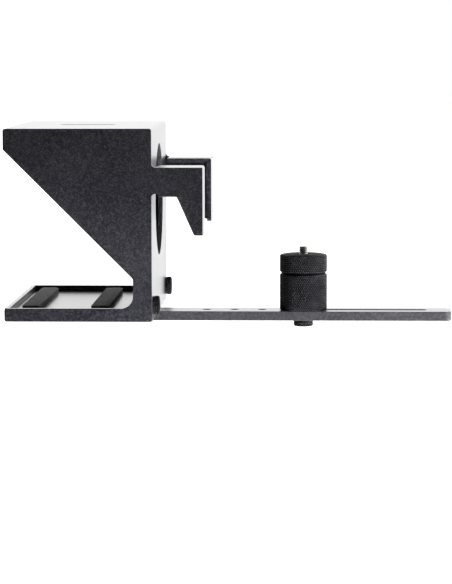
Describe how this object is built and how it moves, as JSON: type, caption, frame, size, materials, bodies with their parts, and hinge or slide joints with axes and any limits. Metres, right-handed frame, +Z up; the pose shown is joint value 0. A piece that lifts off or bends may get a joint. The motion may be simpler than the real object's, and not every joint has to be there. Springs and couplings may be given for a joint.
{
  "type": "teleprompter",
  "caption": "Hooded phone teleprompter: black sheet-metal hood with angled beam-splitter glass and phone tray, on a flat slotted rail with a knurled camera riser.",
  "frame": {"origin": "axis of the middle tripod socket, on the underside of the rail", "axes": "+X from the presenter's side towards the camera along the rail, +Z up, Y across the hood"},
  "size_m": [0.2975, 0.1584, 0.1381],
  "materials": {
    "powder_coat": "fine textured black powder coat",
    "rail_coat": "satin black powder coat",
    "anodised_black": "black anodised, diamond knurled",
    "black_channel": "matt black anodised",
    "steel_zinc": "zinc plated steel",
    "black_oxide": "black oxide steel",
    "nylon_black": "matt",
    "foam_black": "fine-celled foam rubber",
    "rubber_black": "moulded matt rubber",
    "splitter_glass": "clear with a thin partly reflecting coat"
  },
  "bodies": {
    "hood_and_rail": {"side_plate_right": "powder_coat", "side_plate_left": "powder_coat", "top_cover": "powder_coat", "rear_panel": "powder_coat", "base_plate": "powder_coat", "rail_bar": "rail_coat", "rail_screws": "black_oxide", "phone_tray": "powder_coat", "tray_nuts": "steel_zinc", "phone_rest_pads": "foam_black", "tray_screw_washers": "nylon_black", "glass_channel_right": "black_channel", "glass_channel_left": "black_channel", "glass_lower_stop": "black_channel", "glass_bumper": "rubber_black"},
    "tray_screw_right_body": {"tray_thumb_screw_right": "anodised_black"},
    "tray_screw_left_body": {"tray_thumb_screw_left": "anodised_black"},
    "glass_body": {"beam_splitter_glass": "splitter_glass"},
    "riser_base": {"riser_lower_barrel": "anodised_black", "riser_link_stud": "steel_zinc", "riser_washer": "nylon_black"},
    "riser_head": {"riser_upper_barrel": "anodised_black", "camera_stud": "steel_zinc", "camera_pad": "rubber_black"},
    "riser_knob": {"riser_thumb_screw": "anodised_black"}
  },
  "joints": [
    {"name": "riser_slide", "type": "slide", "parent": "hood_and_rail", "child": "riser_base", "axis": [1, 0, 0], "range_m": [-0.0073, 0.0811]},
    {"name": "riser_head_turn", "type": "hinge", "parent": "riser_base", "child": "riser_head", "pos_m": [0.0474, 0, 0.04455], "axis": [0, 0, 1], "continuous": true},
    {"name": "riser_knob_turn", "type": "hinge", "parent": "riser_base", "child": "riser_knob", "pos_m": [0.0474, 0, 0], "axis": [0, 0, 1], "continuous": true},
    {"name": "tray_screw_right_turn", "type": "hinge", "parent": "hood_and_rail", "child": "tray_screw_right_body", "pos_m": [-0.0515, -0.0667, 0.01625], "axis": [1, 0, 0], "continuous": true},
    {"name": "tray_screw_left_turn", "type": "hinge", "parent": "hood_and_rail", "child": "tray_screw_left_body", "pos_m": [-0.0515, 0.0667, 0.01625], "axis": [1, 0, 0], "continuous": true},
    {"name": "glass_slide", "type": "slide", "parent": "hood_and_rail", "child": "glass_body", "axis": [-0.7071, 0, 0.7071], "range_m": [0, 0.11]}
  ]
}
